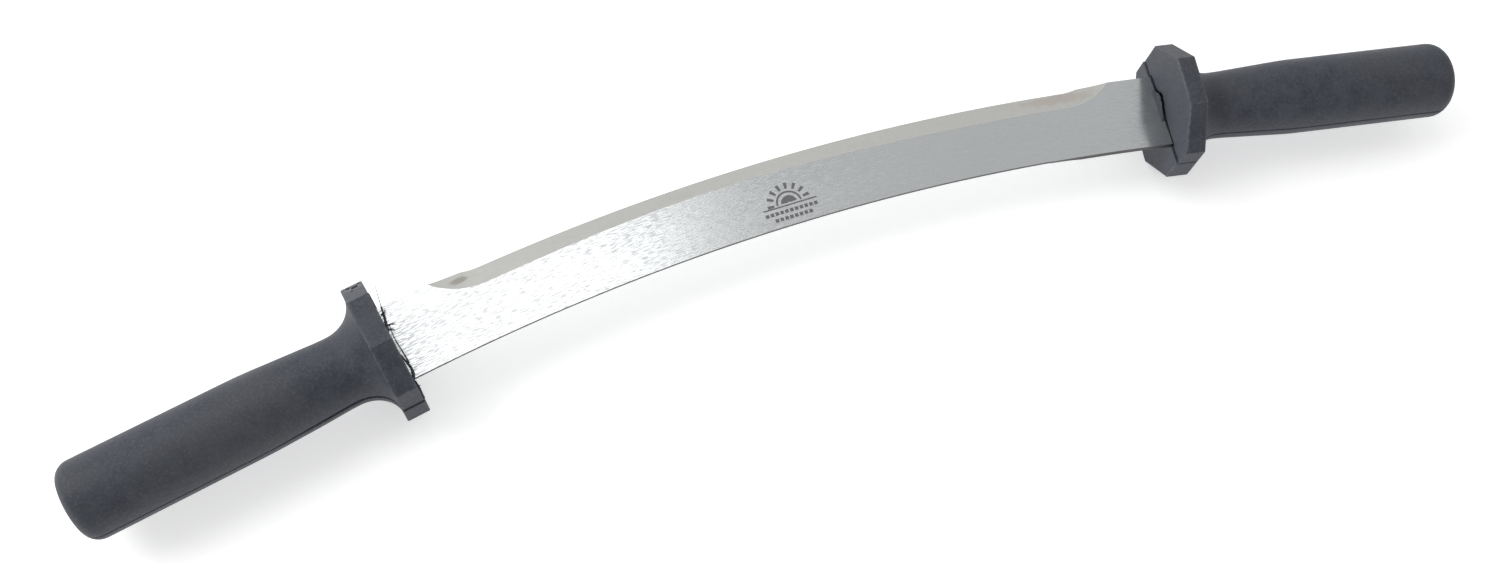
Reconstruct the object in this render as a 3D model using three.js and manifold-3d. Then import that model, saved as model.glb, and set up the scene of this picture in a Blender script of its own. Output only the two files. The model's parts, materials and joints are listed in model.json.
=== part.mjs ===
// Two-handled knife with an edge-curved blade: a flat steel blade bowed in its own plane, with a
// moulded handle on a narrow tang at each end. Each handle is two half shells that meet in the
// blade's plane, with half of an eight-sided guard on each, held to the tang by two blind pins.
//
// Millimetres, +Z up. The knife lies flat: X along its length, Y across it with the bowed-out
// sharp edge on the +Y side. The finished group stands on Z = 0, centred on the origin.

import * as THREE from 'three';
import { mergeVertices } from 'three/addons/utils/BufferGeometryUtils.js';
import Module from 'manifold-3d';

const wasm = await Module();
wasm.setup();

// ---------------------------------------------------------------- driving dimensions

const GAP = 0.3;                      // clearance between pieces that touch on the real knife
const PAST = 1;                       // how far a cutting tool runs past the face it cuts

const BLADE_HALF_LENGTH = 157;        // half the chord between the two guards
const BLADE_RADIUS = 831;             // bow of the blade's centreline
const STOCK_WIDTH = 31.75;            // 1 1/4 in strip
const STOCK_THICKNESS = 2.4;
const SHOULDER_DEPTH = 5;             // full-width blade let into each guard
const BLADE_STEPS = 36;

const EDGE_OFFSET = 14.85;            // sharp edge, outwards from the centreline
const BEVEL_OFFSET = 7.4;             // line where the bevel meets the top face
const EDGE_LIP = 0.25;                // steel left at the sharp edge
const BEVEL_FROM = -118;              // ends of the full bevel, along the centreline
const BEVEL_TO = 119.5;
const BACK_OFFSET = 15.7;             // dull edge, inwards from the centreline
const BACK_BEVEL_OFFSET = 10.6;       // line where the back bevel meets the underside
const BACK_LIP = 1.2;                 // steel left at the dull edge
const BACK_BEVEL_TO = 104;
const RUN_OUT_RADIUS = 26;            // curve that the grinding wheel leaves at a bevel's end
const GRIND_STEPS = 72;

const TANG_LENGTH = 96;               // from the guard's blade-side face
const TANG_WIDTH = 16;
const TANG_NOSE = 3;                  // corner cut at the tang's tip

const GUARD_APOTHEM = 24.5;           // centre to flat
const GUARD_THICKNESS = 8;
const GUARD_SIDES = 8;
const GUARD_ROLL = THREE.MathUtils.degToRad(3.5); // the flats are this far out of square with the seam
const GUARD_CHAMFER = 0.5;

const HANDLE_LENGTH = 111.6;          // from the guard's far face
const FLARE_LENGTH = 12;              // fillet between the guard and the neck
const FLARE_RADIUS = 23.5;
const NECK_RADIUS = 13.35;
const GRIP_RADIUS = 15.05;
const GRIP_START = 44;                // where the neck's taper reaches full size
const END_ROUND = 5.8;
const ROUND_SIDES = 40;

const PIN_DIAMETER = 4;
const PIN_LENGTH = 16;
const PIN_STATIONS = [36, 76];        // from the guard's blade-side face
const PIN_SIDES = 20;

const CORE_RADIUS = 10.4;             // moulded hollows, open at the seam
const CORES = [[15, 29], [43, 69], [83, 114]];    // from and to, from the guard's blade-side face

// ---------------------------------------------------------------- worked out from them

const HALF_ANGLE = Math.asin(BLADE_HALF_LENGTH / BLADE_RADIUS);
const CENTRE_Y = -BLADE_RADIUS * Math.cos(HALF_ANGLE);
const SHOULDER_ANGLE = HALF_ANGLE + SHOULDER_DEPTH / BLADE_RADIUS;
const HALF_THICKNESS = STOCK_THICKNESS / 2;
const HALF_STOCK = STOCK_WIDTH / 2;
const REACH = GUARD_THICKNESS + HANDLE_LENGTH;    // guard's blade-side face to the handle's end

// ---------------------------------------------------------------- solids

// A closed geometry as a solid, with the slivers at a lathe's poles left out.
function solidOf(geometry) {
  const bare = geometry.clone();
  bare.deleteAttribute('normal');
  bare.deleteAttribute('uv');
  const merged = mergeVertices(bare);
  const corners = merged.index.array;
  const faces = [];
  for (let i = 0; i < corners.length; i += 3) {
    const [a, b, c] = corners.subarray(i, i + 3);
    if (a !== b && b !== c && c !== a) {
      faces.push(a, b, c);
    }
  }
  const vertProperties = new Float32Array(merged.attributes.position.array);
  const triVerts = new Uint32Array(faces);
  return new wasm.Manifold(new wasm.Mesh({ numProp: 3, vertProperties, triVerts }));
}

function geometryOf(solid) {
  const mesh = solid.getMesh();
  const geometry = new THREE.BufferGeometry();
  geometry.setAttribute('position', new THREE.BufferAttribute(mesh.vertProperties, 3));
  geometry.setIndex(new THREE.BufferAttribute(mesh.triVerts, 1));
  geometry.computeVertexNormals();
  return geometry;
}

function block(from, to) {
  const size = new THREE.Vector3().subVectors(to, from);
  const middle = new THREE.Vector3().addVectors(from, to).multiplyScalar(0.5);
  return new THREE.BoxGeometry(size.x, size.y, size.z).translate(middle.x, middle.y, middle.z);
}

// A round bar along X.
function barAlongX(radius, from, to, sides) {
  return new THREE.CylinderGeometry(radius, radius, to - from, sides)
    .rotateZ(-Math.PI / 2)
    .translate((from + to) / 2, 0, 0);
}

// A round bar along Z, centred on Z = 0.
function barAlongZ(radius, length, x, sides) {
  return new THREE.CylinderGeometry(radius, radius, length, sides)
    .rotateX(Math.PI / 2)
    .translate(x, 0, 0);
}

// ---------------------------------------------------------------- blade

// A point of the blade's plane, from its distance along the centreline and out from it.
function bladePoint(along, out) {
  const angle = along / BLADE_RADIUS;
  const radius = BLADE_RADIUS + out;
  return new THREE.Vector2(radius * Math.sin(angle), CENTRE_Y + radius * Math.cos(angle));
}

// The tang's outline on one end of the blade: a straight tongue along the handle's axis.
function tangPoints(end) {
  const half = TANG_WIDTH / 2;
  const outline = [
    [SHOULDER_DEPTH, half],
    [TANG_LENGTH - TANG_NOSE, half],
    [TANG_LENGTH, half - TANG_NOSE],
    [TANG_LENGTH, TANG_NOSE - half],
    [TANG_LENGTH - TANG_NOSE, -half],
    [SHOULDER_DEPTH, -half],
  ];
  const root = bladePoint(end * HALF_ANGLE * BLADE_RADIUS, 0);
  const turn = new THREE.Vector2(0, 0);
  return outline.map(([along, across]) => new THREE.Vector2(end * along, end * across)
    .rotateAround(turn, -end * HALF_ANGLE)
    .add(root));
}

function bladeOutline() {
  const reach = SHOULDER_ANGLE * BLADE_RADIUS;
  const upper = [];
  const lower = [];
  for (let step = 0; step <= BLADE_STEPS; step += 1) {
    const along = THREE.MathUtils.lerp(-reach, reach, step / BLADE_STEPS);
    upper.push(bladePoint(along, HALF_STOCK));
    lower.push(bladePoint(-along, -HALF_STOCK));
  }
  return [...upper, ...tangPoints(1), ...lower, ...tangPoints(-1)];
}

// The line along which a grinding wheel meets a flat face: it keeps its distance from the
// centreline, then swings out over the blade's edge at each end.
class GrindLine extends THREE.Curve {
  constructor(offset, from, to, side, height) {
    super();
    Object.assign(this, { offset, from, to, side, height });
    this.swing = RUN_OUT_RADIUS * Math.sin(Math.PI / 3);
  }

  getPoint(t, target = new THREE.Vector3()) {
    const along = THREE.MathUtils.lerp(this.from - this.swing, this.to + this.swing, t);
    const past = Math.max(this.from - along, along - this.to, 0);
    const drift = RUN_OUT_RADIUS - Math.sqrt(RUN_OUT_RADIUS ** 2 - past ** 2);
    const { x, y } = bladePoint(along, this.side * (this.offset + drift));
    return target.set(x, y, this.height);
  }
}

// What a grinding wheel takes off: a slope from the grind line down to the lip, then a straight
// drop. In the section, x runs away from the ground face and y runs out over the edge.
function grindTool(line, slopeWidth, slopeDepth, towards, over) {
  const clear = HALF_STOCK;
  const section = new THREE.Shape([
    new THREE.Vector2(-towards * PAST, 0),
    new THREE.Vector2(0, 0),
    new THREE.Vector2(towards * slopeDepth, over * slopeWidth),
    new THREE.Vector2(towards * (STOCK_THICKNESS + PAST), over * slopeWidth),
    new THREE.Vector2(towards * (STOCK_THICKNESS + PAST), over * (slopeWidth + clear)),
    new THREE.Vector2(-towards * PAST, over * (slopeWidth + clear)),
  ]);
  return new THREE.ExtrudeGeometry(section, { extrudePath: line, steps: GRIND_STEPS });
}

function sharpEdgeTool() {
  const line = new GrindLine(BEVEL_OFFSET, BEVEL_FROM, BEVEL_TO, 1, HALF_THICKNESS);
  return grindTool(line, EDGE_OFFSET - BEVEL_OFFSET, STOCK_THICKNESS - EDGE_LIP, 1, 1);
}

function dullEdgeTool() {
  const start = -SHOULDER_ANGLE * BLADE_RADIUS;
  const line = new GrindLine(BACK_BEVEL_OFFSET, start, BACK_BEVEL_TO, -1, -HALF_THICKNESS);
  return grindTool(line, BACK_OFFSET - BACK_BEVEL_OFFSET, STOCK_THICKNESS - BACK_LIP, -1, -1);
}

// The same turn and shift that carry a handle from its own axes to one end of the blade.
function placeAtEnd(object, end) {
  const { x, y } = bladePoint(end * HALF_ANGLE * BLADE_RADIUS, 0);
  object.position.set(x, y, 0);
  object.rotation.z = end > 0 ? -HALF_ANGLE : Math.PI + HALF_ANGLE;
  object.updateMatrix();
  return object;
}

function bladeGeometry() {
  const plate = new THREE.ExtrudeGeometry(new THREE.Shape(bladeOutline()), {
    depth: STOCK_THICKNESS,
    bevelEnabled: false,
  }).translate(0, 0, -HALF_THICKNESS);
  let blade = solidOf(plate).subtract(solidOf(sharpEdgeTool())).subtract(solidOf(dullEdgeTool()));
  for (const end of [-1, 1]) {
    const place = placeAtEnd(new THREE.Object3D(), end).matrix;
    for (const station of PIN_STATIONS) {
      const drill = barAlongZ(PIN_DIAMETER / 2 + GAP, STOCK_THICKNESS + 2 * PAST, station, PIN_SIDES);
      blade = blade.subtract(solidOf(drill.applyMatrix4(place)));
    }
  }
  return geometryOf(blade);
}

// ---------------------------------------------------------------- handles
// A handle's own axes: X outwards along the handle from the guard's blade-side face, Z up.

function guardGeometry() {
  const corner = (GUARD_APOTHEM - GUARD_CHAMFER) / Math.cos(Math.PI / GUARD_SIDES);
  const outline = [];
  for (let side = 0; side < GUARD_SIDES; side += 1) {
    const angle = (side + 0.5) * 2 * Math.PI / GUARD_SIDES;
    outline.push(new THREE.Vector2(corner * Math.cos(angle), corner * Math.sin(angle)));
  }
  return new THREE.ExtrudeGeometry(new THREE.Shape(outline), {
    depth: GUARD_THICKNESS - 2 * GUARD_CHAMFER,
    bevelThickness: GUARD_CHAMFER,
    bevelSize: GUARD_CHAMFER,
    bevelSegments: 1,
  }).translate(0, 0, GUARD_CHAMFER).rotateY(Math.PI / 2).rotateX(GUARD_ROLL);
}

// Flare, neck and grip turned about X. The profile starts inside the guard.
function gripGeometry() {
  const profile = new THREE.Path();
  const flareRise = FLARE_RADIUS - NECK_RADIUS;
  profile.moveTo(0, GUARD_THICKNESS / 2);
  profile.lineTo(FLARE_RADIUS, GUARD_THICKNESS / 2);
  profile.lineTo(FLARE_RADIUS, GUARD_THICKNESS);
  profile.absellipse(FLARE_RADIUS, GUARD_THICKNESS + FLARE_LENGTH, flareRise, FLARE_LENGTH,
    -Math.PI / 2, -Math.PI, true);
  profile.lineTo(GRIP_RADIUS, GUARD_THICKNESS + GRIP_START);
  profile.lineTo(GRIP_RADIUS, REACH - END_ROUND);
  profile.absarc(GRIP_RADIUS - END_ROUND, REACH - END_ROUND, END_ROUND, 0, Math.PI / 2, false);
  profile.lineTo(0, REACH);
  return new THREE.LatheGeometry(profile.getPoints(6), ROUND_SIDES).rotateZ(-Math.PI / 2);
}

// The space that the blade's end and tang take up, with clearance all round.
function tangSpace() {
  const shoulder = block(
    new THREE.Vector3(-PAST, -HALF_STOCK - GAP, -HALF_THICKNESS - GAP),
    new THREE.Vector3(SHOULDER_DEPTH + GAP, HALF_STOCK + GAP, HALF_THICKNESS + GAP),
  );
  const tongue = block(
    new THREE.Vector3(0, -TANG_WIDTH / 2 - GAP, -HALF_THICKNESS - GAP),
    new THREE.Vector3(TANG_LENGTH + GAP, TANG_WIDTH / 2 + GAP, HALF_THICKNESS + GAP),
  );
  return solidOf(shoulder).add(solidOf(tongue));
}

// One half of a handle with its half of the guard: side is +1 above the seam, -1 below it.
function shellGeometry(side) {
  const seam = side * GAP / 2;
  const outer = side * 2 * GUARD_APOTHEM;
  const half = block(
    new THREE.Vector3(-PAST, -2 * GUARD_APOTHEM, Math.min(seam, outer)),
    new THREE.Vector3(REACH + PAST, 2 * GUARD_APOTHEM, Math.max(seam, outer)),
  );
  let shell = solidOf(guardGeometry()).add(solidOf(gripGeometry())).intersect(solidOf(half));
  shell = shell.subtract(tangSpace());
  for (const [from, to] of CORES) {
    shell = shell.subtract(solidOf(barAlongX(CORE_RADIUS, from, to, ROUND_SIDES)));
  }
  for (const station of PIN_STATIONS) {
    const socket = barAlongZ(PIN_DIAMETER / 2 + GAP, PIN_LENGTH + 2 * GAP, station, PIN_SIDES);
    shell = shell.subtract(solidOf(socket));
  }
  return geometryOf(shell);
}

function pinGeometry(station) {
  return barAlongZ(PIN_DIAMETER / 2, PIN_LENGTH, station, PIN_SIDES);
}

// ---------------------------------------------------------------- materials

function brushedSteel() {
  return new THREE.MeshStandardMaterial({ color: 0xc4c6c5, roughness: 0.38, metalness: 1 });
}

function charcoalPlastic() {
  return new THREE.MeshStandardMaterial({ color: 0x3d4045, roughness: 0.62, metalness: 0 });
}

function pinSteel() {
  return new THREE.MeshStandardMaterial({ color: 0xa9abad, roughness: 0.5, metalness: 1 });
}

// ---------------------------------------------------------------- assembly

function piece(name, geometry, material) {
  const mesh = new THREE.Mesh(geometry, material);
  mesh.name = name;
  return mesh;
}

function handle(name, end) {
  const group = new THREE.Group();
  group.add(piece(`${name}_handle_upper_shell`, shellGeometry(1), charcoalPlastic()));
  group.add(piece(`${name}_handle_lower_shell`, shellGeometry(-1), charcoalPlastic()));
  PIN_STATIONS.forEach((station, index) => {
    const place = ['inner', 'outer'][index];
    group.add(piece(`${name}_tang_pin_${place}`, pinGeometry(station), pinSteel()));
  });
  return placeAtEnd(group, end);
}

function knife() {
  const body = new THREE.Group();
  body.add(piece('blade', bladeGeometry(), brushedSteel()));
  body.add(handle('left', -1));
  body.add(handle('right', 1));
  body.updateMatrixWorld(true);
  const box = new THREE.Box3().setFromObject(body, true);
  const middle = box.getCenter(new THREE.Vector3());
  body.position.set(-middle.x, -middle.y, -box.min.z);
  const group = new THREE.Group();
  group.add(body);
  return group;
}

export default knife();
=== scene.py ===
import json
import math

import bmesh
import bpy
from mathutils import Matrix, Vector


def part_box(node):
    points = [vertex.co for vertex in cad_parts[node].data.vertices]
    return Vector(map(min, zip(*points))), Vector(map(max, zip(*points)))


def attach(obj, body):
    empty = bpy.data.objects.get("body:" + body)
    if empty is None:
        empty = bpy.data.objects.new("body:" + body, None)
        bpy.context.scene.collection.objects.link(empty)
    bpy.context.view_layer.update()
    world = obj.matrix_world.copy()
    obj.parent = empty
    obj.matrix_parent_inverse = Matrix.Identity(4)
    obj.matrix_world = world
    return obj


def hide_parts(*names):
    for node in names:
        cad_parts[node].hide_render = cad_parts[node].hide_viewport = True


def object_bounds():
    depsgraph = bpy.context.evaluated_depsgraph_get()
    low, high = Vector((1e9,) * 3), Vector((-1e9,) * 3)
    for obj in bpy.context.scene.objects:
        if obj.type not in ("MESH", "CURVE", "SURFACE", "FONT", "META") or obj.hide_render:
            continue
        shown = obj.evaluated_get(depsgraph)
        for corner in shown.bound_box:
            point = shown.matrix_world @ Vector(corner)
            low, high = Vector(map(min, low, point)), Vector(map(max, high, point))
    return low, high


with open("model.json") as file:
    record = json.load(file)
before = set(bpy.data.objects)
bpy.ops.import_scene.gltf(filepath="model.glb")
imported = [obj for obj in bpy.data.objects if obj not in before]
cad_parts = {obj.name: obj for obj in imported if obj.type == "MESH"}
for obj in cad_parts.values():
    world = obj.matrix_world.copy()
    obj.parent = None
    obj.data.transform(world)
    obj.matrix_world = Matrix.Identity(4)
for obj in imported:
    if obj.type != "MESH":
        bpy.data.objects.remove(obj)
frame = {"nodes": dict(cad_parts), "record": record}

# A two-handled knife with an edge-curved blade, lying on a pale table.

MM = 0.001
CAD_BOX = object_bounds()

# ---------------------------------------------------------------- sizes, in millimetres

EDGE_OFFSET = 14.84          # sharp edge, outwards from the blade's centreline
EDGE_LIP = 0.25
BEVEL_OFFSET = 6.7           # line where the bevel meets the top face, near the bevel's ends
BEVEL_SWELL = 1.45           # the line swings this much further out near mid-length
SWELL_CENTRE = -25.0         # where along the blade it does, and how far each way the swing reaches
SWELL_REACH = 110.0
BEVEL_FROM = -118.0
BEVEL_TO = 119.5
BACK_OFFSET = 15.69          # dull edge, inwards from the centreline
BACK_BEVEL_OFFSET = 10.6
BACK_LIP = 1.2
BACK_BEVEL_TO = 104.0
HALF_STOCK = 15.875
RUN_OUT_RADIUS = 26.0
SHOULDER_DEPTH = 5.0
TANG_LENGTH = 96.0
TANG_HALF_WIDTH = 8.0

GUARD_APOTHEM = 24.49
GUARD_THICKNESS = 8.0
GUARD_SIDES = 8
GUARD_STEP = math.tau / GUARD_SIDES
GUARD_ROLL = math.radians(3.5)
GUARD_ROUND = 0.45
RIM_WEAR_AND_HIGHLIGHT_DEPTH = 0.6         # the guard's corners are painted pale this far in from its flats, partly as wear and partly as painted highlight
# How far each half's blade-side face stands inwards of the nominal one, and how far the face
# leans outwards for each millimetre above the seam.
FACE_PROUD = {("left", 1): 0.3, ("left", -1): 0.8, ("right", 1): 0.1, ("right", -1): 0.7}
FACE_LEAN = {"left": 0.0, "right": 0.035}
# How far the left handle's lower half is slipped across the upper one, towards the dull edge's
# side, and over which part of its length the slip fades out.
SEAM_SLIP = {("left", -1): 0.45}
SLIP_FADE = (30.0, 55.0)
HANDLE_LENGTH = 111.6
REACH = GUARD_THICKNESS + HANDLE_LENGTH
FLARE_LENGTH = 12.0
FLARE_RADIUS = 23.5
NECK_RADIUS = 13.35
GRIP_RADIUS = 15.03
GRIP_START = 44.0
TAPER_EASE = 6.0             # length over which the taper from neck to grip starts and ends
END_ROUND = 5.87
SEAM_GAP = 0.3
SEAM_ROUND = 0.3

# ---------------------------------------------------------------- places, from the frame

MOUNTS = {mount["name"]: mount for mount in frame["record"]["mounts"]}
BLADE_LOW, BLADE_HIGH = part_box("blade")
SEAM_Z = (BLADE_LOW.z + BLADE_HIGH.z) / 2 / MM
HALF_THICKNESS = (BLADE_HIGH.z - BLADE_LOW.z) / 2 / MM


def handle_axes(name):
    """A handle's own axes as a matrix in millimetres: X outwards from the guard's blade-side
    face, Z up, with the origin on the seam."""
    mount = MOUNTS[f"{name}_handle_end"]
    along = Vector((mount["axis"][0], mount["axis"][1], 0)).normalized()
    up = Vector((0, 0, 1))
    across = up.cross(along)
    end = Vector((mount["pos_m"][0] / MM, mount["pos_m"][1] / MM, SEAM_Z))
    axes = Matrix((along, across, up)).transposed().to_4x4()
    axes.translation = end - along * REACH
    return axes


HANDLES = {name: handle_axes(name) for name in ("left", "right")}
ROOT = HANDLES["right"].translation
HALF_ANGLE = math.atan2(-HANDLES["right"][1][0], HANDLES["right"][0][0])
BLADE_RADIUS = ROOT.x / math.sin(HALF_ANGLE)
CENTRE_Y = ROOT.y - BLADE_RADIUS * math.cos(HALF_ANGLE)
HALF_LENGTH = HALF_ANGLE * BLADE_RADIUS


def on_blade(along, out, height):
    """A point in millimetres, from its place along the blade's centreline and out from it."""
    angle = along / BLADE_RADIUS
    radius = BLADE_RADIUS + out
    return Vector((radius * math.sin(angle), CENTRE_Y + radius * math.cos(angle), SEAM_Z + height))


def smooth(value):
    """An eased step from 0 to 1."""
    value = min(max(value, 0.0), 1.0)
    return value * value * (3 - 2 * value)


# ---------------------------------------------------------------- node materials

class Paint:
    """A Principled material under construction. Each method adds nodes and returns an output."""

    def __init__(self, name, **settings):
        self.material = bpy.data.materials.new(name)
        self.material.use_nodes = True
        self.nodes = self.material.node_tree.nodes
        self.links = self.material.node_tree.links
        self.shader = self.nodes["Principled BSDF"]
        for socket, value in settings.items():
            self.shader.inputs[socket.replace("_", " ")].default_value = value

    def add(self, kind, *values, **properties):
        """A new node with its properties set and its first inputs fed."""
        node = self.nodes.new(kind)
        for key, value in properties.items():
            setattr(node, key, value)
        for socket, value in zip(node.inputs, values):
            self.feed(socket, value)
        return node

    def feed(self, socket, value):
        """Links an output to an input, or sets the input to a plain value."""
        if isinstance(value, bpy.types.NodeSocket):
            self.links.new(value, socket)
        else:
            socket.default_value = value

    def math(self, operation, *values):
        return self.add("ShaderNodeMath", *values, operation=operation).outputs[0]

    def here(self):
        """The point's place in the object, in metres."""
        node = self.nodes.get("Place") or self.add("ShaderNodeTexCoord", name="Place")
        return node.outputs["Object"]

    def attribute(self, name, output="Vector"):
        return self.add("ShaderNodeAttribute", attribute_name=name).outputs[output]

    def stretched(self, vector, *scale):
        """The vector times a scale, in features a metre."""
        node = self.add("ShaderNodeVectorMath", vector, scale, operation="MULTIPLY")
        return node.outputs[0]

    def noise(self, vector, scale=1.0, detail=3.0, rough=0.55, distortion=0.0):
        node = self.add("ShaderNodeTexNoise")
        self.feed(node.inputs["Vector"], vector)
        node.inputs["Scale"].default_value = scale
        node.inputs["Detail"].default_value = detail
        node.inputs["Roughness"].default_value = rough
        node.inputs["Distortion"].default_value = distortion
        return node.outputs["Fac"]

    def ramp(self, value, low, high, to_low=0.0, to_high=1.0):
        """A smooth step from to_low, below low, to to_high, above high."""
        node = self.add("ShaderNodeMapRange", value, low, high, to_low, to_high)
        node.interpolation_type = "SMOOTHSTEP"
        return node.outputs[0]

    def blend(self, factor, first, second):
        """The first colour where the factor is 0 and the second where it is 1."""
        node = self.add("ShaderNodeMix", data_type="RGBA")
        self.feed(node.inputs["Factor"], factor)
        colour_inputs = [socket for socket in node.inputs if socket.type == "RGBA"]
        for socket, colour in zip(colour_inputs, (first, second)):
            linked = isinstance(colour, bpy.types.NodeSocket)
            self.feed(socket, colour if linked else (*colour, 1))
        return next(socket for socket in node.outputs if socket.type == "RGBA")

    def spot(self, vector, centre, radii, wobble=0.35, scale=400):
        """1 inside an uneven blotch and 0 well outside it."""
        middle = [value * MM for value in centre]
        apart = self.add("ShaderNodeVectorMath", vector, middle, operation="SUBTRACT")
        shrink = [1 / (radius * MM) for radius in radii]
        unit = self.add("ShaderNodeVectorMath", apart.outputs[0], shrink, operation="MULTIPLY")
        distance = self.add("ShaderNodeVectorMath", unit.outputs[0], operation="LENGTH")
        uneven = self.math("MULTIPLY_ADD", self.noise(vector, scale), 2 * wobble, -wobble)
        return self.ramp(self.math("ADD", distance.outputs["Value"], uneven), 1.0, 0.4)

    def finish(self, colour, roughness, bump=None, strength=0.3, depth=0.02):
        """Feeds the shader and returns the material. Depth is the bump's height in millimetres."""
        self.feed(self.shader.inputs["Base Color"], colour)
        self.feed(self.shader.inputs["Roughness"], roughness)
        if bump is not None:
            node = self.add("ShaderNodeBump")
            node.inputs["Strength"].default_value = strength
            node.inputs["Distance"].default_value = depth * MM
            self.feed(node.inputs["Height"], bump)
            self.links.new(node.outputs[0], self.shader.inputs["Normal"])
        return self.material


def face_steel():
    """The blade's flat faces: polished strip with short brushed dashes, thickest at its ends."""
    paint = Paint("blade_face_steel", Metallic=1.0)
    grain = paint.attribute("grain")
    lines = paint.noise(paint.stretched(grain, 130, 2600, 300), detail=4, rough=0.6)
    dashes = paint.noise(paint.stretched(grain, 320, 2700, 100), detail=3, rough=0.55,
                         distortion=0.35)
    cloud = paint.noise(paint.stretched(grain, 18, 60, 10), detail=2)
    along = paint.add("ShaderNodeSeparateXYZ", grain).outputs["X"]
    ends = paint.ramp(paint.math("ABSOLUTE", along), 0.132, 0.156)
    density = paint.math("MULTIPLY_ADD", cloud, 0.22, dashes)
    density = paint.math("MULTIPLY_ADD", ends, 0.055, density)
    dash = paint.ramp(density, 0.575, 0.71)
    steel = paint.blend(lines, (0.635, 0.655, 0.66), (0.71, 0.725, 0.725))
    coarse = paint.ramp(along, 0.0, 0.13, 1.0, 0.3)
    dash = paint.math("MULTIPLY", dash, coarse)
    steel = paint.blend(paint.math("MULTIPLY", dash, 0.4), steel, (0.42, 0.425, 0.425))
    rough = paint.math("MULTIPLY_ADD", lines, 0.07, 0.09)
    rough = paint.math("MULTIPLY_ADD", dash, 0.30, rough)
    relief = paint.math("MULTIPLY_ADD", dashes, 1.6, lines)
    relief = paint.math("MULTIPLY", relief, coarse)
    return paint.finish(steel, rough, relief, strength=0.5, depth=0.045)


def bevel_steel():
    """The ground bevel: duller, slightly warm steel with faint stains near its ends."""
    paint = Paint("blade_bevel_steel", Metallic=1.0)
    grain = paint.attribute("grain")
    lines = paint.noise(paint.stretched(grain, 500, 1300, 300), detail=4)
    cloud = paint.noise(paint.stretched(grain, 60, 160, 50), detail=3)
    steel = paint.blend(lines, (0.60, 0.60, 0.56), (0.70, 0.70, 0.67))
    steel = paint.blend(paint.ramp(cloud, 0.5, 0.75, 0, 0.3), steel, (0.52, 0.52, 0.49))
    tip = paint.spot(grain, (-127.0, 12.4, 0), (4.5, 2.0, 9), scale=700)
    steel = paint.blend(paint.math("MULTIPLY", tip, 0.6), steel, (0.30, 0.27, 0.22))
    warm = paint.spot(grain, (118.0, 12.0, 0), (24.0, 3.0, 9), wobble=0.8, scale=300)
    steel = paint.blend(paint.math("MULTIPLY", warm, 0.45), steel, (0.55, 0.45, 0.38))
    rough = paint.math("MULTIPLY_ADD", cloud, 0.16, 0.28)
    return paint.finish(steel, rough, lines, strength=0.15, depth=0.02)


def edge_metal_with_painted_reflection():
    """The narrow upright edges, coarser than the faces, with a very dark base colour that is a
    painted dark reflection of the surroundings.
    """
    paint = Paint("blade_edge_painted_reflection", Metallic=1.0)
    grain = paint.attribute("grain")
    lines = paint.noise(paint.stretched(grain, 200, 800, 2500), detail=3)
    # Very dark steel colour: a painted dark reflection of the surroundings on the upright edges,
    # not the steel's own tone.
    steel = paint.blend(lines, (0.06, 0.06, 0.06), (0.15, 0.15, 0.15))
    return paint.finish(steel, paint.math("MULTIPLY_ADD", lines, 0.2, 0.42), lines, strength=0.2)


def etched_mark():
    """The dark oxide that an etching machine leaves on steel."""
    paint = Paint("blade_etched_mark", Metallic=0.6)
    grain = paint.noise(paint.here(), scale=5200, detail=3)
    colour = paint.blend(grain, (0.09, 0.09, 0.09), (0.26, 0.26, 0.26))
    return paint.finish(colour, paint.math("MULTIPLY_ADD", grain, 0.2, 0.45))


def charcoal_plastic():
    """Matt moulded plastic: fine grain, soft mottling, pale edges that are partly wear and partly
    painted highlight, and a few scuffs.
    """
    paint = Paint("handle_charcoal_plastic", Specular_IOR_Level=0.30)
    here = paint.here()
    grain = paint.noise(here, scale=2600, detail=4, rough=0.6)
    speck = paint.noise(here, scale=1050, detail=3, rough=0.6)
    mottle = paint.ramp(paint.noise(here, scale=150, detail=5, rough=0.65), 0.3, 0.7)
    cloud = paint.noise(here, scale=26, detail=2)
    colour = paint.blend(mottle, (0.042, 0.047, 0.062), (0.068, 0.075, 0.092))
    colour = paint.blend(paint.ramp(cloud, 0.4, 0.7, 0, 0.5), colour, (0.072, 0.075, 0.082))
    colour = paint.blend(paint.ramp(speck, 0.46, 0.68, 0, 0.5), colour, (0.105, 0.110, 0.124))
    colour = paint.blend(paint.ramp(grain, 0.52, 0.75, 0, 0.4), colour, (0.11, 0.115, 0.125))
    # Pale edges: partly real wear, partly painted highlight where the guard's rounded edges and
    # corners catch the light.
    broken = paint.ramp(paint.noise(here, scale=420, detail=5, rough=0.75), 0.38, 0.62)
    worn_and_highlit = paint.math("MULTIPLY", paint.attribute("wear_and_highlight", "Fac"), broken)
    colour = paint.blend(paint.math("MULTIPLY", worn_and_highlit, 0.5), colour, (0.18, 0.19, 0.205))
    scuffs = paint.ramp(paint.noise(paint.stretched(here, 120, 1500, 900), detail=3), 0.69, 0.76)
    few = paint.ramp(paint.noise(here, scale=45, detail=1), 0.56, 0.66)
    colour = paint.blend(paint.math("MULTIPLY", scuffs, few), colour, (0.13, 0.135, 0.14))
    scar = HANDLES["left"] @ Vector((3.2, -22.0, 12.0))
    torn = paint.spot(here, scar, (5.0, 5.0, 5.0), scale=500)
    colour = paint.blend(paint.math("MULTIPLY", torn, 0.6), colour, (0.155, 0.16, 0.17))
    rough = paint.math("MULTIPLY_ADD", mottle, 0.16, 0.50)
    rough = paint.math("MULTIPLY_ADD", worn_and_highlit, 0.15, rough)
    relief = paint.math("MULTIPLY_ADD", mottle, 0.8, grain)
    return paint.finish(colour, rough, relief, strength=0.45, depth=0.04)


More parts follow.
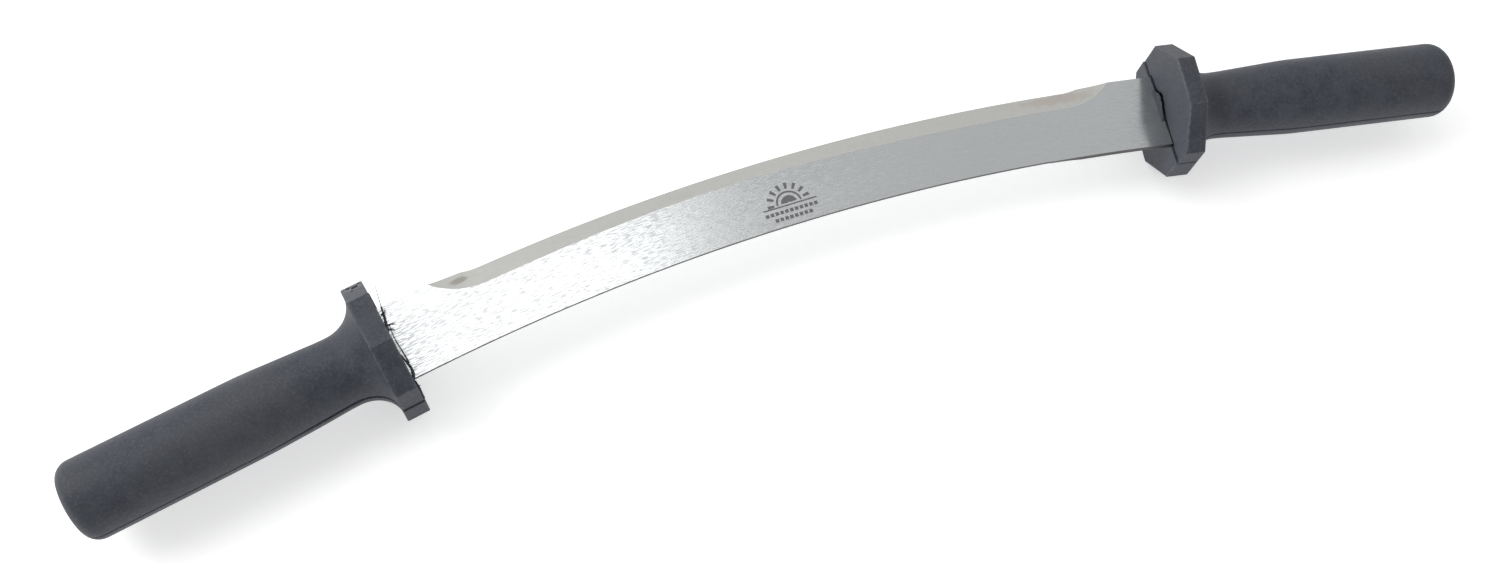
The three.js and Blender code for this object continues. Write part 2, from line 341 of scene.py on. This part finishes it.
def drawn_steel():
    """The plain bar that the hidden pins are cut from."""
    paint = Paint("pin_drawn_steel", Metallic=1.0)
    lines = paint.noise(paint.stretched(paint.here(), 3000, 3000, 120), detail=3)
    colour = paint.blend(lines, (0.34, 0.34, 0.35), (0.52, 0.52, 0.53))
    return paint.finish(colour, paint.math("MULTIPLY_ADD", lines, 0.2, 0.35), lines, strength=0.1)


def table_white():
    """The pale table, lit a little from within so that shadows on it stay light."""
    paint = Paint("table_white", Specular_IOR_Level=0.2, Emission_Color=(1, 1, 1, 1),
                  Emission_Strength=0.50)
    speck = paint.noise(paint.here(), scale=40, detail=2)
    colour = paint.blend(speck, (0.885, 0.885, 0.883), (0.895, 0.895, 0.895))
    return paint.finish(colour, paint.math("MULTIPLY_ADD", speck, 0.05, 0.7))


# ---------------------------------------------------------------- meshes

def object_from(bm, name, *materials, slot=None, sharp=35):
    """Turns a bmesh in millimetres into a piece of the object, in metres."""
    bmesh.ops.recalc_face_normals(bm, faces=bm.faces)
    bmesh.ops.scale(bm, vec=(MM, MM, MM), verts=bm.verts)
    mesh = bpy.data.meshes.new(name)
    bm.to_mesh(mesh)
    bm.free()
    for material in materials:
        mesh.materials.append(material)
    mesh.polygons.foreach_set("use_smooth", [True] * len(mesh.polygons))
    mesh.set_sharp_from_angle(angle=math.radians(sharp))
    piece = bpy.data.objects.new(name, mesh)
    bpy.context.scene.collection.objects.link(piece)
    if slot:
        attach(piece, "root")
    return piece


def bevel_line(along):
    """Offset of the top bevel's inner line, away from its run-outs."""
    swing = min(abs(along - SWELL_CENTRE) / SWELL_REACH, 1)
    return BEVEL_OFFSET + BEVEL_SWELL * (1 + math.cos(math.pi * swing)) / 2


def ground(along, start, stop, line, edge, depth):
    """(bevel line's offset, edge's offset, height lost at the edge) for a bevel ground from start
    to stop, where the wheel swings out over the edge beyond each end."""
    past = max(start - along, along - stop, 0.0)
    if past >= RUN_OUT_RADIUS:
        return HALF_STOCK, HALF_STOCK, 0.0
    drift = RUN_OUT_RADIUS - math.sqrt(RUN_OUT_RADIUS ** 2 - past ** 2)
    width = edge - line
    inner = min(line + drift, HALF_STOCK)
    outer = min(inner + width, HALF_STOCK)
    return inner, outer, depth * (outer - inner) / width


BLADE_MATERIALS = {"face": 0, "bevel": 1, "edge": 2}
# The material of each side of the blade's outline, in blade_section's order.
SECTION_KINDS = ("edge", "bevel", "face", "face", "face", "face", "edge", "bevel", "face", "face")


def blade_section(along):
    """The blade's outline across its width, as (out, height) points from the sharp edge round."""
    full = 2 * HALF_THICKNESS
    top, edge, lost = ground(along, BEVEL_FROM, BEVEL_TO, bevel_line(along), EDGE_OFFSET,
                             full - EDGE_LIP)
    back_line, back, raised = ground(along, -2 * HALF_LENGTH, BACK_BEVEL_TO, BACK_BEVEL_OFFSET,
                                     BACK_OFFSET, full - BACK_LIP)
    upper = HALF_THICKNESS
    return [
        (edge, -upper), (edge, upper - lost), (top, upper), (top * 0.5, upper), (0, upper),
        (-back * 0.5, upper), (-back, upper), (-back, -upper + raised), (-back_line, -upper),
        (0, -upper),
    ]


FINE_STEP = 0.5
COARSE_STEP = 1.5


def blade_stations():
    """Places along the centreline: close together where a bevel runs out."""
    reach = HALF_LENGTH + SHOULDER_DEPTH
    ends = (BEVEL_FROM, BEVEL_TO, BACK_BEVEL_TO)
    stations = [-reach]
    while stations[-1] < reach:
        here = stations[-1]
        fine = any(abs(here - end) < RUN_OUT_RADIUS for end in ends)
        stations.append(min(here + (FINE_STEP if fine else COARSE_STEP), reach))
    return stations


def skin(bm, rings, kinds=None):
    """Faces between closed rings of points, with a flat cap on each end."""
    for first, second in zip(rings, rings[1:]):
        for i, _ in enumerate(first):
            j = (i + 1) % len(first)
            corners = []
            for vert in (first[i], first[j], second[j], second[i]):
                if vert not in corners:
                    corners.append(vert)
            if len(corners) > 2:
                face = bm.faces.new(corners)
                if kinds:
                    face.material_index = BLADE_MATERIALS[kinds[i]]
    bm.faces.new(list(dict.fromkeys(rings[0])))
    bm.faces.new(list(dict.fromkeys(rings[-1])))


def blade(materials):
    """The strip with its bevels, and a straight tang inside each handle."""
    bm = bmesh.new()
    grain = bm.verts.layers.float_vector.new("grain")

    def vertex(point, along, out, height):
        vert = bm.verts.new(point)
        vert[grain] = Vector((along, out, height)) * MM
        return vert

    def tang_ring(end, distance, shape):
        axes = HANDLES["right" if end > 0 else "left"]
        return [vertex(axes @ Vector((distance, end * out, height)), end * (HALF_LENGTH + distance),
                       out, height) for out, height in shape]

    rings = []
    for along in blade_stations():
        ring = []
        for out, height in blade_section(along):
            ring.append(vertex(on_blade(along, out, height), along, out, height))
        rings.append(ring)
    limit = TANG_HALF_WIDTH
    for end in (-1, 1):
        shape = [(min(max(out, -limit), limit), math.copysign(HALF_THICKNESS, height))
                 for out, height in blade_section(0)]
        tang = [tang_ring(end, distance, shape) for distance in (SHOULDER_DEPTH, TANG_LENGTH)]
        rings = rings + tang if end > 0 else tang[::-1] + rings
    skin(bm, rings, SECTION_KINDS)
    bmesh.ops.remove_doubles(bm, verts=bm.verts, dist=0.004)
    bmesh.ops.dissolve_degenerate(bm, edges=bm.edges, dist=0.001)
    piece = object_from(bm, "blade_body", *materials, slot="blade_steel", sharp=8)
    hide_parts("blade")
    return piece


# ---------------------------------------------------------------- handles

def octagon(angle, apothem):
    """Distance from the axis to the guard's outline, which has rounded corners."""
    half_step = GUARD_STEP / 2
    off = abs((angle - GUARD_ROLL + half_step) % GUARD_STEP - half_step)
    tangent = math.atan2((apothem - GUARD_ROUND) * math.tan(half_step), apothem)
    if off <= tangent:
        return apothem / math.cos(off)
    corner = (apothem - GUARD_ROUND) / math.cos(half_step)
    turn = half_step - off
    return corner * math.cos(turn) + math.sqrt(GUARD_ROUND ** 2 - (corner * math.sin(turn)) ** 2)


COLUMN_STEP = 3              # degrees
CORNER_OFFSETS = (-1.5, -0.7, -0.4, -0.2, 0, 0.2, 0.4, 0.7, 1.5)      # degrees from a corner
CORNER_CLEARANCE = math.radians(1.6)
CORNER_REACH = math.radians(0.5)      # how far from a corner an angle still counts as on it


def column_angles():
    """Angles round half a handle, from one seam to the other, close together at the corners."""
    angles = {math.radians(COLUMN_STEP * i) for i in range(180 // COLUMN_STEP + 1)}
    for k in range(GUARD_SIDES // 2):
        corner = (k + 0.5) * GUARD_STEP + GUARD_ROLL
        angles = {angle for angle in angles if abs(angle - corner) > CORNER_CLEARANCE}
        angles |= {corner + math.radians(offset) for offset in CORNER_OFFSETS}
    return sorted(angles)


def grip_radius(distance):
    """Neck, taper and grip, with the taper eased in and out. Distance is from the flare's end."""
    taper = GRIP_START - FLARE_LENGTH
    steps = 40
    covered = 0
    for i in range(steps):
        reached = distance * i / steps
        eased_in = smooth(reached / TAPER_EASE)
        eased_out = 1 - smooth((reached - taper + TAPER_EASE) / (2 * TAPER_EASE))
        covered += eased_in * eased_out * distance / steps
    slope = (GRIP_RADIUS - NECK_RADIUS) / (taper - TAPER_EASE / 2)
    return min(NECK_RADIUS + slope * covered, GRIP_RADIUS)


TAPER_RING_STEP = 1.5
GRIP_RING_STEP = 4.0


def handle_rings():
    """(x, kind, size, share of pale edge colour, partly wear and partly painted highlight) of each
    ring from the guard's blade-side face to the butt.
    """
    rings = []
    quarter_turn = [math.radians(18 * i) for i in range(6)]
    inner = GUARD_APOTHEM - GUARD_ROUND
    rings.append((0, "flat", inner - 1.0, 0))
    rings.append((0, "flat", inner - 0.35, 0.3))
    for turn in quarter_turn:
        x = GUARD_ROUND * (1 - math.cos(turn))
        rings.append((x, "flat", inner + GUARD_ROUND * math.sin(turn), 1))
    for share in (0.03, 0.12, 0.3, 0.5, 0.7, 0.88, 0.97):
        x = GUARD_ROUND + share * (GUARD_THICKNESS - 2 * GUARD_ROUND)
        rings.append((x, "flat", GUARD_APOTHEM, 0.3 if share in (0.03, 0.97) else 0))
    for turn in reversed(quarter_turn):
        x = GUARD_THICKNESS - GUARD_ROUND * (1 - math.cos(turn))
        rings.append((x, "flat", inner + GUARD_ROUND * math.sin(turn), 1))
    rings.append((GUARD_THICKNESS, "flat", inner - 0.2, 0.2))
    rise = FLARE_RADIUS - NECK_RADIUS
    for i in range(21):
        turn = math.radians(4.5 * i)
        x = GUARD_THICKNESS + FLARE_LENGTH * (1 - math.cos(turn))
        rings.append((x, "round", NECK_RADIUS + rise * (1 - math.sin(turn)), 0))
    flare_end = GUARD_THICKNESS + FLARE_LENGTH
    distance = 1.0
    while distance < REACH - END_ROUND - flare_end:
        rings.append((flare_end + distance, "round", grip_radius(distance), 0))
        distance += TAPER_RING_STEP if distance < GRIP_START else GRIP_RING_STEP
    for i in range(9):
        turn = math.radians(11.25 * i)
        x = REACH - END_ROUND * (1 - math.sin(turn))
        size = GRIP_RADIUS - END_ROUND * (1 - math.cos(turn))
        rings.append((x, "round", size, 0.35 if i == 4 else 0))
    return rings


def box_mesh(bm, low, high):
    """Adds a box between two corners and returns its vertices."""
    cube = bmesh.ops.create_cube(bm, size=1)
    size = [above - below for below, above in zip(low, high)]
    middle = [(above + below) / 2 for below, above in zip(low, high)]
    bmesh.ops.scale(bm, vec=size, verts=cube["verts"])
    bmesh.ops.translate(bm, vec=middle, verts=cube["verts"])
    return cube["verts"]


# The ragged opening where the blade goes into each guard's face, above the blade, as
# (across, depth, height above the seam).
ENTRY = {
    "left": ((-22.5, 0.5, 0.5), (-16.2, 0.8, 0.6), (-15.6, 1.6, 1.6), (-12, 2.5, 2.1),
             (-8, 3.0, 1.9), (-5, 2.5, 1.5), (0, 1.2, 1.4), (5, 1.8, 1.6), (9, 3.0, 2.1),
             (12, 3.5, 2.4), (15.6, 2.5, 1.7), (16.4, 1.2, 0.8), (23.5, 0.8, 0.6)),
    "right": ((-24.2, 1.2, 0.7), (-20, 1.2, 0.8), (-17, 1.2, 0.7), (-15.8, 2.0, 1.9),
              (-11, 2.0, 1.8), (-9.1, 2.2, 2.1), (-5, 3.0, 2.3), (-2.9, 3.4, 2.9),
              (0.1, 3.6, 4.0), (1.6, 3.6, 5.0), (2.6, 3.6, 4.6), (4.0, 3.6, 5.3), (5.9, 3.6, 4.9),
              (7.4, 3.6, 3.4), (9.1, 3.4, 2.5), (12.2, 2.6, 1.9), (15.8, 2.0, 2.0),
              (17, 1.2, 0.9), (20, 1.2, 0.7), (24.2, 1.0, 0.8)),
}
FLAP_FROM_HEIGHT = 2.2       # the flap stands where the opening is at least this tall
FLAP_DROP = 0.6              # height of the flap's top below the opening's upper lip
FLAP_STAND = 0.85            # dark crack left between the flap's top and the guard's face
FLAP_THICKNESS = 0.4
# Pits where the gate was torn off the left guard's far upper flat, as (along the handle, down the
# flat from its middle, length, width, depth).
GATE_PITS = ((2.9, 5.6, 2.4, 3.0, 1.2), (5.3, 7.6, 1.3, 1.8, 0.7), (1.2, 8.2, 1.0, 1.2, 0.5),
             (4.3, 2.2, 0.9, 1.2, 0.4))


def entry_notch(bm, name):
    """A solid the shape of the ragged opening, for cutting it out of an upper shell."""
    rings = []
    for y, depth, height in ENTRY[name]:
        shape = ((-3, 0), (depth, 0), (depth * 0.8, height * 0.7), (0.15, height), (-3, height))
        rings.append([bm.verts.new((x, y, z)) for x, z in shape])
    skin(bm, rings)


def gate_scar(bm):
    """Solids the shape of the gate's pits."""
    turn = Matrix.Rotation(GUARD_ROLL + math.radians(135), 4, "X")
    for x, slide, length, width, depth in GATE_PITS:
        corners = box_mesh(bm, (x - length / 2, GUARD_APOTHEM - depth, slide - width / 2),
                           (x + length / 2, GUARD_APOTHEM + 1, slide + width / 2))
        bmesh.ops.transform(bm, matrix=turn, verts=corners)


def flap(bm, name):
    """The flash that stands in a tall part of the opening, over the blade."""
    rings = []
    for y, _, height in ENTRY[name]:
        if height < FLAP_FROM_HEIGHT:
            continue
        top = height - FLAP_DROP
        inside = FACE_LEAN[name] * height - FACE_PROUD[name, 1] - FLAP_STAND
        outside = inside - FLAP_THICKNESS
        shape = ((outside - 0.6, HALF_THICKNESS), (outside - 0.4, HALF_THICKNESS + 0.35),
                 (outside, top * 0.95), (inside, top), (inside + 0.1, HALF_THICKNESS))
        rings.append([bm.verts.new(HANDLES[name] @ Vector((x, y, z))) for x, z in shape])
    skin(bm, rings)


def cut(piece, cutter):
    """Takes the cutter's solid out of the piece and deletes the cutter."""
    modifier = piece.modifiers.new("cut", "BOOLEAN")
    modifier.operation = "DIFFERENCE"
    modifier.solver = "EXACT"
    modifier.object = cutter
    bpy.context.view_layer.update()
    cut_mesh = bpy.data.meshes.new_from_object(
        piece.evaluated_get(bpy.context.evaluated_depsgraph_get()))
    piece.modifiers.remove(modifier)
    old = piece.data
    piece.data = cut_mesh
    cut_mesh.name = piece.name
    bpy.data.meshes.remove(old)
    bpy.data.objects.remove(cutter)
    piece.data.set_sharp_from_angle(angle=math.radians(35))


def slot_box(bm, start, stop, half_width, half_height):
    """A box along a handle's axis from start to stop, for the blade's or the tang's slot."""
    box_mesh(bm, (start, -half_width, -half_height), (stop, half_width, half_height))


def carve(piece, axes, make_solid, *sizes):
    """Cuts a solid that is made in a handle's own axes out of the piece."""
    tool = bmesh.new()
    make_solid(tool, *sizes)
    bmesh.ops.transform(tool, matrix=axes, verts=tool.verts)
    cut(piece, object_from(tool, "cutter"))


def is_corner(angle):
    """Whether a corner of the guard's outline is at this angle."""
    return abs((angle - GUARD_ROLL) % GUARD_STEP - GUARD_STEP / 2) < CORNER_REACH


def handle_shell(name, side, plastic):
    """One half of a handle with its half of the guard. side is 1 above the seam, -1 below."""
    half = "upper" if side > 0 else "lower"
    axes = HANDLES[name]
    bm = bmesh.new()
    # Share of the pale edge colour at each point: partly wear, partly painted highlight on the
    # guard's rounded edges and corners.
    wear_and_highlight = bm.verts.layers.float.new("wear_and_highlight")
    angles = [angle + (0 if side > 0 else math.pi) for angle in column_angles()]
    corners = [is_corner(angle) for angle in angles]
    rings = []
    for x, kind, size, worn_and_highlit in handle_rings():
        faded = smooth((x - SLIP_FADE[0]) / (SLIP_FADE[1] - SLIP_FADE[0]))
        slip = SEAM_SLIP.get((name, side), 0) * (1 - faded)
        ring = []
        for angle, corner in zip(angles, corners):
            radius = octagon(angle, size) if kind == "flat" else size
            height = side * max(side * radius * math.sin(angle), SEAM_GAP / 2)
            forward = max(1 - x / GUARD_THICKNESS, 0)
            shift = forward * (FACE_LEAN[name] * height - FACE_PROUD[name, side])
            vert = bm.verts.new((x + shift, radius * math.cos(angle) + slip, height))
            on_rim = kind == "flat" and size > GUARD_APOTHEM - RIM_WEAR_AND_HIGHLIGHT_DEPTH
            vert[wear_and_highlight] = 1 if corner and on_rim else worn_and_highlit
            ring.append(vert)
        rings.append(ring)
    for first, second in zip(rings, rings[1:]):
        for i in range(len(first) - 1):
            bm.faces.new((first[i], first[i + 1], second[i + 1], second[i]))
    bm.faces.new(rings[0])
    bm.faces.new(rings[-1])
    seam = bm.faces.new([ring[0] for ring in rings] + [ring[-1] for ring in reversed(rings)])
    bm.normal_update()
    bmesh.ops.bevel(bm, geom=list(seam.edges), offset=SEAM_ROUND, segments=1, affect="EDGES",
                    clamp_overlap=True)
    bmesh.ops.transform(bm, matrix=axes, verts=bm.verts)
    piece = object_from(bm, f"{name}_grip_{half}", plastic, slot="handle_plastic")

    room = SEAM_GAP
    blade_half = (HALF_STOCK + room, HALF_THICKNESS + room / 4)
    tang_half = (TANG_HALF_WIDTH + room, HALF_THICKNESS + room)
    carve(piece, axes, slot_box, -2, SHOULDER_DEPTH + room, *blade_half)
    carve(piece, axes, slot_box, SHOULDER_DEPTH, TANG_LENGTH + room, *tang_half)
    if side > 0:
        carve(piece, axes, entry_notch, name)
    if name == "left" and side > 0:
        carve(piece, axes, gate_scar)
    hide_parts(f"{name}_handle_{half}_shell")
    return piece


# ---------------------------------------------------------------- small detail

EMBLEM_DEPTH = 0.03          # the mark's height above the face, and its depth into it
SUN_CENTRE = (-0.5, -6.4)
ARC_STEP = 7.5               # degrees
BLOCK_LENGTH = 1.4
BLOCK_HALF_WIDTH = 0.75
BLOCK_PITCH = 2.0


def emblem(material):
    """A plain etched emblem, a rising sun over two rows of blocks, on the blade's top face."""
    bm = bmesh.new()

    def plate(points):
        rings = []
        for height in (HALF_THICKNESS - EMBLEM_DEPTH, HALF_THICKNESS + EMBLEM_DEPTH):
            rings.append([bm.verts.new(on_blade(along, out, height)) for along, out in points])
        skin(bm, rings)

    def bar(left, right, low, high):
        plate([(left, low), (right, low), (right, high), (left, high)])

    def arc(radius, turns):
        return [(SUN_CENTRE[0] + radius * math.cos(turn), SUN_CENTRE[1] + radius * math.sin(turn))
                for turn in turns]

    def sector(inner, outer, start, stop):
        steps = max(1, round((stop - start) / ARC_STEP))
        turns = [math.radians(start + (stop - start) * i / steps) for i in range(steps + 1)]
        plate(arc(outer, turns) + arc(inner, turns)[::-1])

    sector(4.4, 5.2, 0, 180)
    sector(0.4, 3.2, 4, 176)
    for start in range(6, 180, 24):
        sector(6.1, 8.8, start, start + 9)
    bar(-11.5, 10.5, -7.5, -6.9)
    for first, count, out in ((-11.4, 11, -9.6), (-8.4, 8, -12.4)):
        for i in range(count):
            left = first + BLOCK_PITCH * i
            bar(left, left + BLOCK_LENGTH, out - BLOCK_HALF_WIDTH, out + BLOCK_HALF_WIDTH)
    return object_from(bm, "blade_emblem", material, slot="blade_steel")


SHRED_SIDES = 6
SHRED_FLATNESS = 0.6         # a thread's height as a share of its width
SHRED_TAPER = 0.65           # share of its width that a thread loses along its length


def shred(bm, axes, points, thickness):
    """A tapering thread of moulding flash along points in a handle's own axes."""
    rings = []
    for index, point in enumerate(points):
        share = index / (len(points) - 1)
        radius = thickness * (1 - SHRED_TAPER * share)
        before = Vector(points[max(index - 1, 0)])
        after = Vector(points[min(index + 1, len(points) - 1)])
        along = (after - before).normalized()
        side = along.cross(Vector((0.3, 0.2, 1))).normalized()
        lift = side.cross(along)
        ring = []
        for k in range(SHRED_SIDES):
            angle = math.tau * k / SHRED_SIDES
            offset = side * math.cos(angle) + lift * math.sin(angle) * SHRED_FLATNESS
            ring.append(bm.verts.new(axes @ (Vector(point) + offset * radius)))
        rings.append(ring)
    skin(bm, rings)


# Threads of moulding flash on each guard's blade-side face, as a thickness and points in the
# handle's own axes.
FLASH = {
    "left": (
        (0.19, ((-0.6, -9.0, 1.7), (-1.9, -11.0, 2.3), (-2.4, -15.5, 2.9), (-3.2, -20, 3.2),
                (-4.0, -24.4, 3.3))),
        (0.62, ((-0.2, -5.5, 1.4), (-0.9, -7.6, 1.7), (-1.4, -10.6, 1.8), (-1.8, -13, 1.7),
                (-2.3, -15.9, 1.5))),
        (0.30, ((-0.9, -7.8, 1.4), (-2.4, -7.6, 1.6), (-4.2, -7.0, 2.0))),
        (0.26, ((-0.6, -6.2, 1.4), (-1.9, -5.6, 1.7), (-2.8, -4.7, 1.8))),
        (0.30, ((-0.9, -12.6, 1.6), (-2.4, -12.9, 1.9), (-3.1, -13.8, 2.0))),
        (0.75, ((-0.3, 15.9, 1.2), (-1.3, 13.9, 1.5), (-1.6, 11.4, 1.5), (-1.1, 8.6, 1.4),
                (-0.3, 4.6, 1.3))),
        (0.35, ((-0.7, 16.4, 0.4), (-1.0, 19.4, 0.3), (-0.9, 24.0, 0.2))),
        (0.24, ((-0.8, 18.6, 0.3), (-1.8, 18.9, 0.7))),
        (0.30, ((-1.8, 9.4, 1.5), (-1.6, 4.5, 1.4), (-1.3, 0.0, 1.4), (-1.4, -4.0, 1.45),
                (-1.9, -8.0, 1.7))),
    ),
    "right": (
        (0.20, ((-0.6, 15.6, 1.3), (-0.4, 12.5, 1.4), (-0.5, 9.5, 1.4))),
        (0.26, ((-1.6, 7.4, 1.3), (-1.1, 5.0, 1.35), (-0.9, 2.5, 1.35), (-1.0, -2.8, 1.35))),
    ),
}


def flash_threads(name, plastic):
    """The moulding flash beside one guard, as one piece."""
    bm = bmesh.new()
    for thickness, points in FLASH[name]:
        shred(bm, HANDLES[name], points, thickness)
    if name == "right":
        flap(bm, name)
    return object_from(bm, f"{name}_guard_flash", plastic, slot="handle_plastic", sharp=80)


# ---------------------------------------------------------------- room

FLOOR_HALF_SIZE = 40         # metres, so that its far edge is never in view
CAMERA_LENS = 33.17
CAMERA_FROM_CENTRE = (-0.1193, -0.2158, 0.4693)
CAMERA_TURNS = (24.766, -2.455, -19.930)
PANEL = {"place": (-0.30, 0.62, 1.3), "aim": (-0.30, 0.62, 0), "width": 0.90, "height": 1.0,
         "radiance": 1.29}
WINDOW = {"place": (-1.3, 0.6, 1.4), "aim": (0, 0, 0), "width": 1.0, "height": 1.0, "radiance": 4.0}


def floor(material):
    """The table top that the guards rest on."""
    bm = bmesh.new()
    bmesh.ops.create_grid(bm, x_segments=8, y_segments=8, size=FLOOR_HALF_SIZE)
    mesh = bpy.data.meshes.new("table")
    bm.to_mesh(mesh)
    bm.free()
    mesh.materials.append(material)
    table = bpy.data.objects.new("table", mesh)
    table.location.z = CAD_BOX[0].z
    bpy.context.scene.collection.objects.link(table)


def soft_box(name, place, aim, width, height, radiance):
    """An area light that is equally bright whatever its size."""
    light = bpy.data.lights.new(name, "AREA")
    light.shape = "RECTANGLE"
    light.size = width
    light.size_y = height
    light.energy = radiance * math.pi * width * height
    lamp = bpy.data.objects.new(name, light)
    lamp.location = place
    lamp.rotation_euler = (Vector(aim) - Vector(place)).to_track_quat("-Z", "Y").to_euler()
    bpy.context.scene.collection.objects.link(lamp)


def surroundings():
    """An even pale room that is brighter beyond the knife than on the near side."""
    world = bpy.data.worlds.new("room")
    bpy.context.scene.world = world
    world.use_nodes = True
    nodes, links = world.node_tree.nodes, world.node_tree.links
    background = nodes["Background"]
    place = nodes.new("ShaderNodeTexCoord")
    split = nodes.new("ShaderNodeSeparateXYZ")
    level = nodes.new("ShaderNodeMapRange")
    level.inputs["From Min"].default_value = -0.8
    level.inputs["From Max"].default_value = 0.9
    level.inputs["To Min"].default_value = 0.30
    level.inputs["To Max"].default_value = 0.74
    links.new(place.outputs["Generated"], split.inputs[0])
    links.new(split.outputs["Y"], level.inputs["Value"])
    links.new(level.outputs[0], background.inputs["Strength"])
    background.inputs["Color"].default_value = (0.985, 0.99, 1.0, 1)


def camera():
    """The main view: from above and in front, with the knife running up to the right."""
    data = bpy.data.cameras.new("camera")
    data.sensor_width = 36
    data.lens = CAMERA_LENS
    view = bpy.data.objects.new("camera", data)
    centre = Vector((0, ROOT.y, SEAM_Z)) * MM
    view.location = centre + Vector(CAMERA_FROM_CENTRE)
    view.rotation_euler = [math.radians(turn) for turn in CAMERA_TURNS]
    bpy.context.scene.collection.objects.link(view)
    bpy.context.scene.camera = view


def main():
    camera()
    surroundings()
    soft_box("ceiling_panel", **PANEL)
    soft_box("window", **WINDOW)
    floor(table_white())
    blade([face_steel(), bevel_steel(), edge_metal_with_painted_reflection()])
    emblem(etched_mark())
    plastic = charcoal_plastic()
    for name in HANDLES:
        for side in (1, -1):
            handle_shell(name, side, plastic)
        flash_threads(name, plastic)
    pin = drawn_steel()
    for name, node in frame["nodes"].items():
        if "_tang_pin_" in name:
            node.data.materials.clear()
            node.data.materials.append(pin)
    bpy.context.scene.view_settings.view_transform = "Standard"


main()
